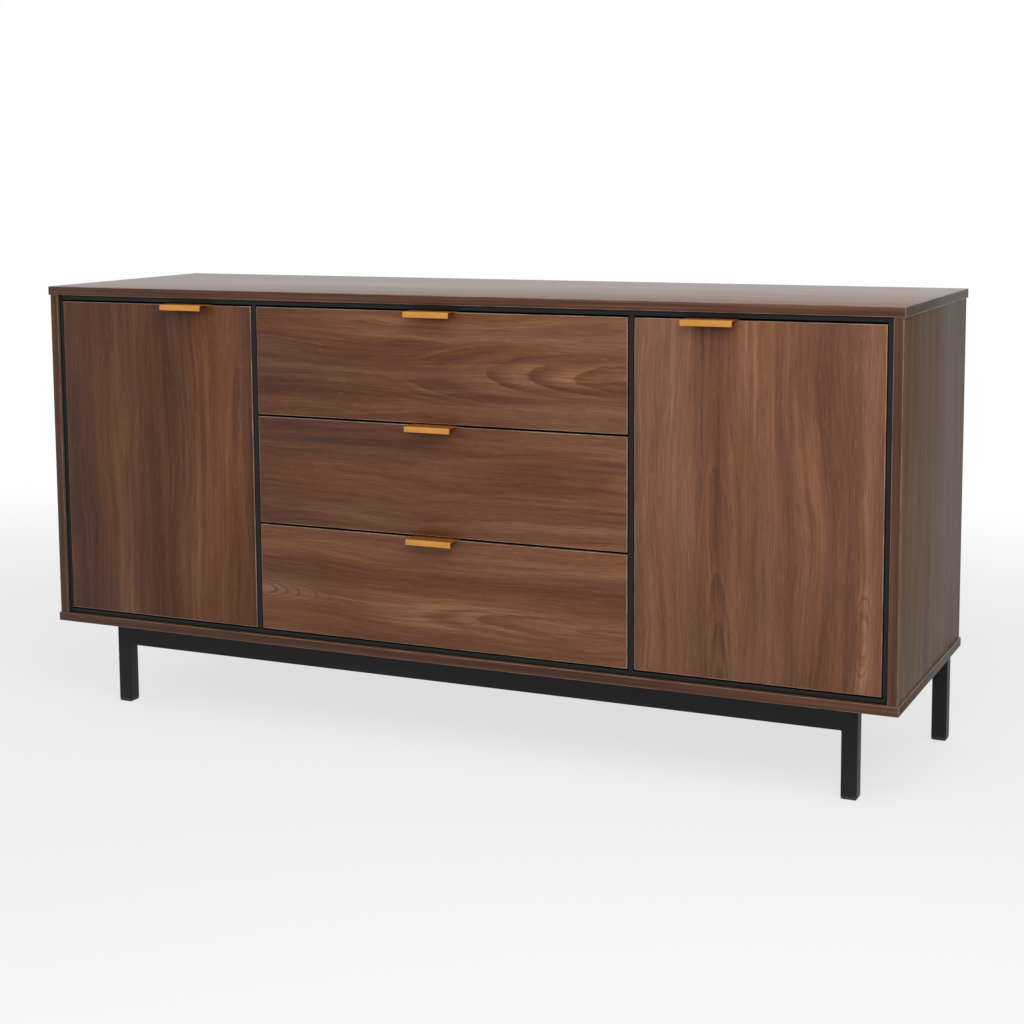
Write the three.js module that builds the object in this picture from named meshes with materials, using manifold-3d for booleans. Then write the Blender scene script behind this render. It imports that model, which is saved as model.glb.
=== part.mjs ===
// Office credenza: two doors beside a stack of three drawers, on a welded steel base.
// Millimetres, +X to the right, +Y to the back, +Z up.
// Pieces are placed from the front edge of the top panel (y = 0) and from the floor (z = 0).
import * as THREE from "three";
import { RoundedBoxGeometry } from "three/addons/geometries/RoundedBoxGeometry.js";
import { mergeVertices } from "three/addons/utils/BufferGeometryUtils.js";
import Module from "manifold-3d";

// Overall size
const WIDTH = 1500;
const DEPTH = 450;
const HEIGHT = 750;
const BASE_HEIGHT = 156;

// Outer case of edge-banded board
const BOARD = 15;
const END_OVERHANG = 2.5;
const FRONT_OVERHANG = 2;
const ARRIS = 1;

// Black inner carcass
const LINER = 8;
const LINER_FRONT = 7;
const BACK_THICKNESS = 6;
const BACK_INSET = 4;
const PARTITION_CENTRE = 334;

// Doors and drawer fronts
const FRONT_FACE = 6;
const SIDE_GAP = 1.5;
const TOP_GAP = 3;
const BOTTOM_GAP = 2.5;
const DRAWER_GAP = 3.5;
const DRAWER_LEVELS = ["lower", "middle", "upper"];

// Shelves
const SHELF_BOARD = 15;
const SHELF_SETBACK = 46;

// Folded edge pulls
const PULL_LENGTH = 80;
const PULL_SHEET = 1.5;
const PULL_REACH = 28;
const PULL_LIP = 9.5;
const PULL_TAIL = 18;
const PULL_BEND = 2.5;
const PULL_LIP_BEND = 3;
const DOOR_PULL_OFFSET = 70;

// Concealed hinges: one pin in a 35 mm cup
const CUP_RADIUS = 17.5;
const CUP_DEPTH = 13;
const CUP_EDGE_DISTANCE = 22.5;
const CUP_WALL = 0.7;
const CUP_GAP = 0.3;
const CUP_COLLAR = 1;
const FLANGE_THICKNESS = 1.2;
const FLANGE_LENGTH = 60;
const FLANGE_WIDTH = 16;
const PIN_FROM_EDGE = 14;
const PIN_FROM_FACE = 6;
const PIN_RADIUS = 1.2;
const EYE_RADIUS = 2.6;
const EYE_BORE = 1.6;
const ARM_WIDTH = 12;
const ARM_NECK = 2.4;
const ARM_CRANK = 13;
const ARM_BODY_HEIGHT = 12;
const ARM_BODY_START = 36;
const ARM_BODY_END = 92;
const PLATE_THICKNESS = 2.5;
const PLATE_SPAN = 52;
const PLATE_START = 46;
const PLATE_LENGTH = 22;
const HINGE_FROM_END = 90;

// Drawer boxes
const DRAWER_SIDE = 12;
const DRAWER_SIDE_HEIGHT = 130;
const DRAWER_LIFT = 14;
const DRAWER_DEPTH = 400;
const DRAWER_BASE = 5;
const GROOVE_HEIGHT = 5.5;
const GROOVE_DEPTH = 6;
const GROOVE_UP = 6;
const GROOVE_PLAY = 0.25;

// Steel slides
const SLIDE_SPACE = 12.5;
const SLIDE_SHEET = 1.5;
const SLIDE_LENGTH = 400;
const RAIL_SETBACK = 1;
const RAIL_HEIGHT = 36;
const RAIL_DEPTH = 10.5;
const RAIL_LIP = 6;
const RUNNER_NECK = 21;
const RUNNER_HEIGHT = 31;
const RUNNER_DEPTH = 9;

// Welded base
const TUBE = 25;
const TUBE_CORNER = 2;
const BASE_RAIL_HEIGHT = 50;
const FRONT_LEG_END_INSET = 76;
const FRONT_LEG_INSET = 66;
const REAR_LEG_END_INSET = 14;
const REAR_LEG_INSET = 10;
const STRETCHER_CENTRE = 420;
const TAB_SIZE = 32;
const TAB_THICKNESS = 3;
const TAB_HOLE_RADIUS = 3;
const TAB_CENTRES = [-560, 0, 560];
const FOOT_HEIGHT = 6;
const FOOT_CHAMFER = 1.5;

const ROUND_SEGMENTS = 32;
const SMALL_SEGMENTS = 12;
const CORNER_SEGMENTS = 3;

// How far a cutting solid runs past the face it cuts, and how far two solids sink into each other
// where they are joined
const CUT_MARGIN = 1;
const JOIN_OVERLAP = 0.5;

// Levels and faces that follow from the driving dimensions
const CASE_BOTTOM = BASE_HEIGHT + BOARD;
const CASE_TOP = HEIGHT - BOARD;
const SIDE_OUTER = WIDTH / 2 - END_OVERHANG;
const SIDE_INNER = SIDE_OUTER - BOARD;
const LINER_INNER = SIDE_INNER - LINER;
const INSIDE_BOTTOM = CASE_BOTTOM + LINER;
const INSIDE_TOP = CASE_TOP - LINER;
const BACK_REAR = DEPTH - BACK_INSET;
const BACK_FRONT = BACK_REAR - BACK_THICKNESS;
const PARTITION_INNER = PARTITION_CENTRE - LINER / 2;
const PARTITION_OUTER = PARTITION_CENTRE + LINER / 2;
const FRONT_BACK = FRONT_FACE + BOARD;
const FRONTS_BOTTOM = INSIDE_BOTTOM + BOTTOM_GAP;
const FRONTS_TOP = INSIDE_TOP - TOP_GAP;
const DOOR_OUTER = LINER_INNER - SIDE_GAP;
const DOOR_INNER = PARTITION_OUTER + SIDE_GAP;
const DRAWER_HALF_WIDTH = PARTITION_INNER - SIDE_GAP;
const DRAWER_STACK = FRONTS_TOP - FRONTS_BOTTOM;
const DRAWER_PITCH = (DRAWER_STACK + DRAWER_GAP) / DRAWER_LEVELS.length;
const DRAWER_HEIGHT = DRAWER_PITCH - DRAWER_GAP;
const BOX_HALF_WIDTH = PARTITION_INNER - SLIDE_SPACE;
const PULL_PROUD = PULL_REACH - FRONT_FACE;

const SIDES = [
  { name: "left", sign: -1 },
  { name: "right", sign: 1 },
];

// Finishes, as colour, roughness and metalness
const WALNUT = { color: 0x6b4636, roughness: 0.45, metalness: 0 };
const BLACK_BOARD = { color: 0x262626, roughness: 0.6, metalness: 0 };
const BLACK_STEEL = { color: 0x232323, roughness: 0.5, metalness: 0.3 };
const BLACK_PLASTIC = { color: 0x1a1a1a, roughness: 0.7, metalness: 0 };
const BRASS = { color: 0xc98f3c, roughness: 0.35, metalness: 0.9 };
const NICKEL = { color: 0xb9b9b6, roughness: 0.3, metalness: 1 };
const ZINC = { color: 0x9fa3a6, roughness: 0.4, metalness: 1 };

const wasm = await Module();
wasm.setup();

const credenza = new THREE.Group();
// The pulls stand proud of the top panel, so the middle of the whole depth is moved to y = 0.
credenza.position.y = -(DEPTH - PULL_PROUD) / 2;

function addPiece(name, geometry, finish) {
  const piece = new THREE.Mesh(geometry, new THREE.MeshStandardMaterial(finish));
  piece.name = name;
  credenza.add(piece);
  return piece;
}

// A flat board between two limits on each axis. A board with an arris has its edges rounded over.
function addBoard(name, [x0, x1], [y0, y1], [z0, z1], finish, arris = 0) {
  const size = [x1 - x0, y1 - y0, z1 - z0];
  const geometry = arris > 0
    ? new RoundedBoxGeometry(...size, 1, arris)
    : new THREE.BoxGeometry(...size);
  const board = addPiece(name, geometry, finish);
  board.position.set((x0 + x1) / 2, (y0 + y1) / 2, (z0 + z1) / 2);
  return board;
}

// The two limits of a span on one side of the middle, in rising order.
function spanOn(sign, near, far) {
  return sign > 0 ? [near, far] : [-far, -near];
}

function solidOf(geometry) {
  const bare = geometry.clone();
  bare.deleteAttribute("normal");
  bare.deleteAttribute("uv");
  const merged = mergeVertices(bare);
  return new wasm.Manifold(
    new wasm.Mesh({
      numProp: 3,
      vertProperties: merged.attributes.position.array,
      triVerts: new Uint32Array(merged.index.array),
    }),
  );
}

function geometryOf(solid) {
  const mesh = solid.getMesh();
  const geometry = new THREE.BufferGeometry();
  geometry.setAttribute("position", new THREE.BufferAttribute(mesh.vertProperties, 3));
  geometry.setIndex(new THREE.BufferAttribute(mesh.triVerts, 1));
  geometry.computeVertexNormals();
  return geometry;
}

function join(geometries) {
  return geometries.map(solidOf).reduce((whole, solid) => whole.add(solid));
}

function block([x0, x1], [y0, y1], [z0, z1]) {
  const geometry = new THREE.BoxGeometry(x1 - x0, y1 - y0, z1 - z0);
  return geometry.translate((x0 + x1) / 2, (y0 + y1) / 2, (z0 + z1) / 2);
}

// A round bar along Z with its middle at the origin.
function barAlongZ(radius, length) {
  const geometry = new THREE.CylinderGeometry(radius, radius, length, SMALL_SEGMENTS);
  return geometry.rotateX(Math.PI / 2);
}

// A round disc along Y between two depths.
function discAlongY(radius, y0, y1) {
  const geometry = new THREE.CylinderGeometry(radius, radius, y1 - y0, ROUND_SEGMENTS);
  return geometry.translate(0, (y0 + y1) / 2, 0);
}

function outline(points) {
  return new THREE.Shape(points.map(([x, y]) => new THREE.Vector2(x, y)));
}

function extrude(shape, depth) {
  const options = { depth, bevelEnabled: false, curveSegments: CORNER_SEGMENTS };
  return new THREE.ExtrudeGeometry(shape, options);
}

// A section drawn in X and Z, run along Y from y0 to y1.
function runAlongY(shape, y0, y1) {
  return extrude(shape, y1 - y0).rotateX(Math.PI / 2).translate(0, y1, 0);
}

// A section drawn in Y and Z, run along X from x0 to x1.
function runAlongX(shape, x0, x1) {
  return extrude(shape, x1 - x0).rotateY(Math.PI / 2).rotateX(Math.PI / 2).translate(x0, 0, 0);
}

// Rectangle with rounded corners, its middle at the origin.
function roundedRectangle(width, height, corner) {
  const x = width / 2;
  const y = height / 2;
  const shape = new THREE.Shape();
  shape.absarc(x - corner, y - corner, corner, 0, Math.PI / 2);
  shape.absarc(corner - x, y - corner, corner, Math.PI / 2, Math.PI);
  shape.absarc(corner - x, corner - y, corner, Math.PI, 1.5 * Math.PI);
  shape.absarc(x - corner, corner - y, corner, 1.5 * Math.PI, 2 * Math.PI);
  return shape;
}

function buildCase() {
  const across = [-WIDTH / 2, WIDTH / 2];
  const depth = [0, DEPTH];
  const sideDepth = [FRONT_OVERHANG, DEPTH - FRONT_OVERHANG];
  addBoard("top_panel", across, depth, [CASE_TOP, HEIGHT], WALNUT, ARRIS);
  addBoard("bottom_panel", across, depth, [BASE_HEIGHT, CASE_BOTTOM], WALNUT, ARRIS);
  for (const { name, sign } of SIDES) {
    const span = spanOn(sign, SIDE_INNER, SIDE_OUTER);
    addBoard(`${name}_side_panel`, span, sideDepth, [CASE_BOTTOM, CASE_TOP], WALNUT, ARRIS);
  }
  const inside = [-SIDE_INNER, SIDE_INNER];
  addBoard("back_panel", inside, [BACK_FRONT, BACK_REAR], [CASE_BOTTOM, CASE_TOP], BLACK_BOARD);
}

function buildInnerCarcass() {
  const inside = [-SIDE_INNER, SIDE_INNER];
  const depth = [LINER_FRONT, BACK_FRONT];
  const upright = [INSIDE_BOTTOM, INSIDE_TOP];
  addBoard("inner_top_board", inside, depth, [INSIDE_TOP, CASE_TOP], BLACK_BOARD);
  addBoard("inner_bottom_board", inside, depth, [CASE_BOTTOM, INSIDE_BOTTOM], BLACK_BOARD);
  for (const { name, sign } of SIDES) {
    const wall = spanOn(sign, LINER_INNER, SIDE_INNER);
    addBoard(`inner_${name}_board`, wall, depth, upright, BLACK_BOARD);
    const partition = spanOn(sign, PARTITION_INNER, PARTITION_OUTER);
    addBoard(`${name}_partition`, partition, depth, upright, BLACK_BOARD);
    const shelf = spanOn(sign, PARTITION_OUTER, LINER_INNER);
    const middle = (INSIDE_BOTTOM + INSIDE_TOP) / 2;
    const level = [middle - SHELF_BOARD / 2, middle + SHELF_BOARD / 2];
    addBoard(`${name}_shelf`, shelf, [SHELF_SETBACK, BACK_FRONT], level, BLACK_BOARD);
  }
}

// The front legs stand back from the ends and the front, the rear legs near the rear corners.
const LEG_ROWS = [
  {
    place: "front",
    x: WIDTH / 2 - FRONT_LEG_END_INSET - TUBE / 2,
    y: FRONT_LEG_INSET + TUBE / 2,
    inward: 1,
  },
  {
    place: "rear",
    x: WIDTH / 2 - REAR_LEG_END_INSET - TUBE / 2,
    y: DEPTH - REAR_LEG_INSET - TUBE / 2,
    inward: -1,
  },
];

// A front and a rear rail with a leg at each end, two stretchers between them and flat tabs for the
// screws into the bottom panel, welded into one frame.
function buildBase() {
  const railLevel = BASE_HEIGHT - BASE_RAIL_HEIGHT / 2;
  const tabLevel = BASE_HEIGHT - TAB_THICKNESS / 2;
  const legProfile = roundedRectangle(TUBE, TUBE, TUBE_CORNER);
  const railProfile = roundedRectangle(TUBE, BASE_RAIL_HEIGHT, TUBE_CORNER);
  const tubes = [];
  const holes = [];
  for (const { place, x, y, inward } of LEG_ROWS) {
    tubes.push(runAlongX(railProfile, -x, x).translate(0, y, railLevel));
    for (const { name, sign } of SIDES) {
      const leg = extrude(legProfile, BASE_HEIGHT - FOOT_HEIGHT);
      tubes.push(leg.translate(sign * x, y, FOOT_HEIGHT));
      addFoot(`${place}_${name}_foot`, sign * x, y);
    }
    for (const tabX of TAB_CENTRES) {
      const reach = TUBE / 2 + TAB_SIZE;
      const tab = new THREE.BoxGeometry(TAB_SIZE, reach, TAB_THICKNESS);
      tubes.push(tab.translate(tabX, y + (inward * reach) / 2, tabLevel));
      const hole = barAlongZ(TAB_HOLE_RADIUS, TAB_THICKNESS + 2 * CUT_MARGIN);
      holes.push(hole.translate(tabX, y + (inward * (TUBE + TAB_SIZE)) / 2, tabLevel));
    }
  }
  const [front, rear] = LEG_ROWS;
  for (const { sign } of SIDES) {
    const stretcher = runAlongY(railProfile, front.y, rear.y);
    tubes.push(stretcher.translate(sign * STRETCHER_CENTRE, 0, railLevel));
  }
  const frame = join(tubes).subtract(join(holes));
  addPiece("base_frame", geometryOf(frame), BLACK_STEEL);
}

// A plastic foot is a square plug, chamfered where it meets the floor.
function addFoot(name, x, y) {
  const half = TUBE / 2;
  const profile = [
    [0, 0],
    [half - FOOT_CHAMFER, 0],
    [half, FOOT_CHAMFER],
    [half, FOOT_HEIGHT],
    [0, FOOT_HEIGHT],
  ];
  const points = profile.map(([r, z]) => new THREE.Vector2(r * Math.SQRT2, z));
  const geometry = new THREE.LatheGeometry(points, 4).rotateY(Math.PI / 4).rotateX(Math.PI / 2);
  addPiece(name, geometry, BLACK_PLASTIC).position.set(x, y, 0);
}

// Folded sheet: a tail behind the front, a plate over its top edge, and a lip to hook the fingers on.
function pullSection() {
  const shape = new THREE.Shape();
  const lipOuter = -PULL_REACH;
  const lipInner = lipOuter + PULL_SHEET;
  const tailOuter = BOARD + PULL_SHEET;
  const bend = PULL_LIP_BEND - PULL_SHEET;
  shape.moveTo(lipOuter, PULL_SHEET - PULL_LIP);
  shape.lineTo(lipInner, PULL_SHEET - PULL_LIP);
  shape.lineTo(lipInner, -bend);
  shape.absarc(lipInner + bend, -bend, bend, Math.PI, Math.PI / 2, true);
  shape.lineTo(BOARD, 0);
  shape.lineTo(BOARD, -PULL_TAIL);
  shape.lineTo(tailOuter, -PULL_TAIL);
  shape.absarc(tailOuter - PULL_BEND, PULL_SHEET - PULL_BEND, PULL_BEND, 0, Math.PI / 2);
  shape.absarc(lipOuter + PULL_LIP_BEND, -bend, PULL_LIP_BEND, Math.PI / 2, Math.PI);
  return shape;
}

function addPull(name, x, frontTop) {
  const geometry = runAlongX(pullSection(), -PULL_LENGTH / 2, PULL_LENGTH / 2);
  addPiece(name, geometry, BRASS).position.set(x, FRONT_FACE, frontTop);
}

// Concealed hinge in its own frame: the pin is the origin, +X points away from the hinged edge,
// +Y into the cupboard and +Z along the pin.
const CUP_CENTRE = CUP_EDGE_DISTANCE - PIN_FROM_EDGE;
const DOOR_REAR = BOARD - PIN_FROM_FACE;
const HINGE_WALL = -(PIN_FROM_EDGE + SIDE_GAP);

function hingeCup() {
  const bottom = DOOR_REAR - CUP_DEPTH + CUP_GAP;
  const rim = DOOR_REAR + FLANGE_THICKNESS;
  const outer = CUP_RADIUS - CUP_GAP;
  const inner = outer - CUP_WALL;
  const shell = discAlongY(outer, bottom, rim);
  const collar = discAlongY(CUP_RADIUS + CUP_COLLAR, DOOR_REAR, rim);
  const ears = block(
    [-FLANGE_WIDTH / 2, FLANGE_WIDTH / 2],
    [DOOR_REAR, rim],
    [-FLANGE_LENGTH / 2, FLANGE_LENGTH / 2],
  );
  const hollow = discAlongY(inner, bottom + CUP_WALL, rim + CUT_MARGIN);
  const pinLength = 2 * Math.sqrt(inner ** 2 - CUP_CENTRE ** 2) + CUP_WALL;
  const pressing = join([shell, collar, ears]).subtract(solidOf(hollow));
  const pin = barAlongZ(PIN_RADIUS, pinLength).translate(-CUP_CENTRE, 0, 0);
  return geometryOf(pressing.add(solidOf(pin))).translate(CUP_CENTRE, 0, 0);
}

// The swan neck leaves the pin sideways, turns out of the cup and cranks back to the wall,
// so that it hooks round the edge of the door when the door is open.
function hingeArm() {
  const crankOuter = ARM_CRANK + ARM_NECK;
  const neckLow = -EYE_RADIUS;
  const neckHigh = neckLow + ARM_NECK;
  const plateFace = HINGE_WALL + PLATE_THICKNESS;
  const bodyFace = HINGE_WALL + PLATE_THICKNESS + ARM_BODY_HEIGHT;
  const crankEnd = ARM_BODY_START - ARM_CRANK;
  const neck = outline([
    [0, neckLow],
    [crankOuter - ARM_NECK, neckLow],
    [crankOuter, neckLow + ARM_NECK],
    [crankOuter, crankEnd],
    [bodyFace, ARM_BODY_START + ARM_NECK],
    [bodyFace, ARM_BODY_END],
    [plateFace - JOIN_OVERLAP, ARM_BODY_END],
    [plateFace - JOIN_OVERLAP, ARM_BODY_START],
    [bodyFace - ARM_NECK, ARM_BODY_START - ARM_NECK],
    [ARM_CRANK, crankEnd - ARM_NECK],
    [ARM_CRANK, neckHigh],
    [0, neckHigh],
  ]);
  const bent = extrude(neck, ARM_WIDTH).translate(0, 0, -ARM_WIDTH / 2);
  const eye = barAlongZ(EYE_RADIUS, ARM_WIDTH);
  const foot = block(
    [HINGE_WALL, plateFace],
    [ARM_BODY_START, ARM_BODY_END],
    [-ARM_WIDTH / 2, ARM_WIDTH / 2],
  );
  const wings = block(
    [HINGE_WALL, plateFace],
    [PLATE_START, PLATE_START + PLATE_LENGTH],
    [-PLATE_SPAN / 2, PLATE_SPAN / 2],
  );
  const bore = barAlongZ(EYE_BORE, ARM_WIDTH + 2 * CUT_MARGIN);
  return geometryOf(join([bent, eye, foot, wings]).subtract(solidOf(bore)));
}

function buildDoors() {
  const cup = hingeCup();
  const arm = hingeArm();
  const hingeLevels = { upper: FRONTS_TOP - HINGE_FROM_END, lower: FRONTS_BOTTOM + HINGE_FROM_END };
  const pinY = FRONT_FACE + PIN_FROM_FACE;
  const middle = (DOOR_INNER + DOOR_OUTER) / 2;
  for (const { name, sign } of SIDES) {
    const width = DOOR_OUTER - DOOR_INNER;
    const leaf = new RoundedBoxGeometry(width, BOARD, DRAWER_STACK, 1, ARRIS);
    leaf.translate(sign * middle, FRONT_FACE + BOARD / 2, (FRONTS_BOTTOM + FRONTS_TOP) / 2);
    let door = solidOf(leaf);
    for (const [place, z] of Object.entries(hingeLevels)) {
      const bore = discAlongY(CUP_RADIUS, FRONT_BACK - CUP_DEPTH, FRONT_BACK + CUT_MARGIN);
      bore.translate(sign * (DOOR_OUTER - CUP_EDGE_DISTANCE), 0, z);
      door = door.subtract(solidOf(bore));
      for (const [kind, geometry, finish] of [["cup", cup, NICKEL], ["arm", arm, NICKEL]]) {
        const piece = addPiece(`${name}_${place}_hinge_${kind}`, geometry, finish);
        piece.position.set(sign * (DOOR_OUTER - PIN_FROM_EDGE), pinY, z);
        piece.scale.x = -sign;
      }
    }
    addPiece(`${name}_door`, geometryOf(door), WALNUT);
    addPull(`${name}_door_pull`, sign * (middle - DOOR_PULL_OFFSET), FRONTS_TOP);
  }
}

// Board section with the groove that holds the base of the drawer, drawn for the right-hand side.
function drawerSideSection() {
  const inner = BOX_HALF_WIDTH - DRAWER_SIDE;
  const grooveTop = GROOVE_UP + GROOVE_HEIGHT;
  return outline([
    [inner, 0],
    [BOX_HALF_WIDTH, 0],
    [BOX_HALF_WIDTH, DRAWER_SIDE_HEIGHT],
    [inner, DRAWER_SIDE_HEIGHT],
    [inner, grooveTop],
    [inner + GROOVE_DEPTH, grooveTop],
    [inner + GROOVE_DEPTH, GROOVE_UP],
    [inner, GROOVE_UP],
  ]);
}

// Fixed rail: a lipped channel whose back lies on the partition, drawn for the right-hand side.
function slideRailSection() {
  const back = PARTITION_INNER;
  const mouth = back - RAIL_DEPTH;
  const top = RAIL_HEIGHT / 2;
  const lip = top - RAIL_LIP;
  const inside = top - SLIDE_SHEET;
  return outline([
    [back, -top],
    [back, top],
    [mouth, top],
    [mouth, lip],
    [mouth + SLIDE_SHEET, lip],
    [mouth + SLIDE_SHEET, inside],
    [back - SLIDE_SHEET, inside],
    [back - SLIDE_SHEET, -inside],
    [mouth + SLIDE_SHEET, -inside],
    [mouth + SLIDE_SHEET, -lip],
    [mouth, -lip],
    [mouth, -top],
  ]);
}

// Moving runner: a hat section on the drawer side, whose brims run inside the rail.
function slideRunnerSection() {
  const foot = BOX_HALF_WIDTH;
  const brim = foot + RUNNER_DEPTH;
  const neck = RUNNER_NECK / 2;
  const edge = RUNNER_HEIGHT / 2;
  const inside = neck - SLIDE_SHEET;
  return outline([
    [foot, -neck],
    [brim - SLIDE_SHEET, -neck],
    [brim - SLIDE_SHEET, -edge],
    [brim, -edge],
    [brim, -inside],
    [foot + SLIDE_SHEET, -inside],
    [foot + SLIDE_SHEET, inside],
    [brim, inside],
    [brim, edge],
    [brim - SLIDE_SHEET, edge],
    [brim - SLIDE_SHEET, neck],
    [foot, neck],
  ]);
}

function buildDrawers() {
  const boxFront = FRONT_BACK;
  const boxRear = boxFront + DRAWER_DEPTH;
  const inner = BOX_HALF_WIDTH - DRAWER_SIDE;
  const side = runAlongY(drawerSideSection(), boxFront, boxRear);
  const railFront = boxFront + RAIL_SETBACK;
  const rail = runAlongY(slideRailSection(), railFront, railFront + SLIDE_LENGTH);
  const runner = runAlongY(slideRunnerSection(), boxFront, boxFront + SLIDE_LENGTH);
  DRAWER_LEVELS.forEach((level, i) => {
    const drawer = `${level}_drawer`;
    const bottom = FRONTS_BOTTOM + i * DRAWER_PITCH;
    const top = bottom + DRAWER_HEIGHT;
    const boxBottom = bottom + DRAWER_LIFT;
    const boxTop = boxBottom + DRAWER_SIDE_HEIGHT;
    const slideLevel = (boxBottom + boxTop) / 2;
    const baseLow = boxBottom + GROOVE_UP + GROOVE_PLAY;
    const baseHalf = inner + GROOVE_DEPTH - GROOVE_PLAY;
    const face = [-DRAWER_HALF_WIDTH, DRAWER_HALF_WIDTH];
    addBoard(`${drawer}_front`, face, [FRONT_FACE, FRONT_BACK], [bottom, top], WALNUT, ARRIS);
    addPull(`${drawer}_pull`, 0, top);
    const backLevel = [boxBottom + GROOVE_UP + GROOVE_HEIGHT, boxTop];
    addBoard(`${drawer}_back`, [-inner, inner], [boxRear - DRAWER_SIDE, boxRear], backLevel, BLACK_BOARD);
    const baseLevel = [baseLow, baseLow + DRAWER_BASE];
    addBoard(`${drawer}_base`, [-baseHalf, baseHalf], [boxFront, boxRear], baseLevel, BLACK_BOARD);
    for (const { name, sign } of SIDES) {
      const parts = [
        [`${drawer}_${name}_side`, side, boxBottom, BLACK_BOARD],
        [`${drawer}_${name}_runner`, runner, slideLevel, ZINC],
        [`${drawer}_${name}_rail`, rail, slideLevel, ZINC],
      ];
      for (const [part, geometry, z, finish] of parts) {
        const piece = addPiece(part, geometry, finish);
        piece.position.z = z;
        piece.scale.x = sign;
      }
    }
  });
}

buildCase();
buildInnerCarcass();
buildBase();
buildDoors();
buildDrawers();

export default credenza;
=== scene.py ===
"""Office credenza: finishes, fittings, studio and camera around its construction.

Sizes are in metres, in the frame of the construction: +X to the right, +Y to the back, +Z up.
"""

import logging
import math
from collections.abc import Iterable, Sequence
from dataclasses import dataclass
from enum import Enum
from functools import cache

import bmesh
import bpy
from mathutils import Matrix, Vector


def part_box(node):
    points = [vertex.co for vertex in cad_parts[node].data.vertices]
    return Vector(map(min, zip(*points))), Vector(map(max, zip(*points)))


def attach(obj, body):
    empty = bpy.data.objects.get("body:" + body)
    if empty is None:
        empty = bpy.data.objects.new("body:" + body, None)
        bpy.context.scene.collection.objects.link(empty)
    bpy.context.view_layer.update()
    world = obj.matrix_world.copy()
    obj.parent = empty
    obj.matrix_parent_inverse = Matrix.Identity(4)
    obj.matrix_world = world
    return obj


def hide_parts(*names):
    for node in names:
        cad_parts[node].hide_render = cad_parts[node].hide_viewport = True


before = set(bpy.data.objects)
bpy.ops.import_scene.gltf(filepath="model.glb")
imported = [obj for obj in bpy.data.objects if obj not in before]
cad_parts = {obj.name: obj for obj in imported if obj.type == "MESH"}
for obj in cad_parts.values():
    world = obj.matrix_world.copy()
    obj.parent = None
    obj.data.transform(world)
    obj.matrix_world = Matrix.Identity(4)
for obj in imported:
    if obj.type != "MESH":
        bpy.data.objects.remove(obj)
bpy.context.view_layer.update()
LOG = logging.getLogger("credenza")
IMAGE_SIDE = 1024
SMOOTH_ANGLE = math.radians(35)
WELD_DISTANCE = 1e-6
FLAT_ANGLE = math.radians(0.5)

Triple = tuple[float, float, float]
Stops = tuple[tuple[float, Triple], ...]


class Axis(Enum):
    """Direction in the frame of the credenza; the value is its place in a vector."""

    X = 0
    Y = 1
    Z = 2

    def spread(self, along: float, across: float) -> Triple:
        """Triple with one number on this axis and another on the other two."""
        values = [across, across, across]
        values[self.value] = along
        return tuple(values)

    def unit(self) -> Triple:
        """Vector of length one along this axis."""
        return self.spread(1.0, 0.0)

    def remaining(self, other: "Axis") -> "Axis":
        """The third axis beside this one and another."""
        return Axis(3 - self.value - other.value)


class Side(Enum):
    """Left or right as seen from the front; the value is the sign of X."""

    LEFT = -1
    RIGHT = 1

    @property
    def word(self) -> str:
        """Name of the side in node names."""
        return self.name.lower()


class Level(Enum):
    """Place of a drawer in the stack."""

    LOWER = "lower"
    MIDDLE = "middle"
    UPPER = "upper"


class Slot(Enum):
    """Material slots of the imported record."""

    WALNUT = "walnut_board"
    BLACK_BOARD = "black_board"
    BACK_BOARD = "back_board"
    DRAWER_BOARD = "drawer_board"
    BLACK_STEEL = "black_steel"
    BLACK_PLASTIC = "black_plastic"
    BRASS = "brass"
    NICKEL = "nickel_steel"
    ZINC = "zinc_steel"


class Body(Enum):
    """Moving bodies that the pieces ride on."""

    CARCASS = "carcass"
    LEFT_DOOR = "left_door"
    RIGHT_DOOR = "right_door"
    LOWER_DRAWER = "lower_drawer"
    MIDDLE_DRAWER = "middle_drawer"
    UPPER_DRAWER = "upper_drawer"


class Channel:
    """Shader socket that takes part in Python arithmetic, one Math node for each operation."""

    def __init__(self, graph: "ShaderGraph", socket: bpy.types.NodeSocket) -> None:
        """Keep the graph that takes the new nodes, and the socket."""
        self.graph = graph
        self.socket = socket

    def __add__(self, other: "Number") -> "Channel":
        """This value plus another."""
        return self.graph.math("ADD", self, other)

    def __sub__(self, other: "Number") -> "Channel":
        """This value less another."""
        return self.graph.math("SUBTRACT", self, other)

    def __rsub__(self, other: "Number") -> "Channel":
        """Another value less this one."""
        return self.graph.math("SUBTRACT", other, self)

    def __mul__(self, other: "Number") -> "Channel":
        """This value times another."""
        return self.graph.math("MULTIPLY", self, other)

    __radd__ = __add__
    __rmul__ = __mul__


Number = Channel | float


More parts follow.
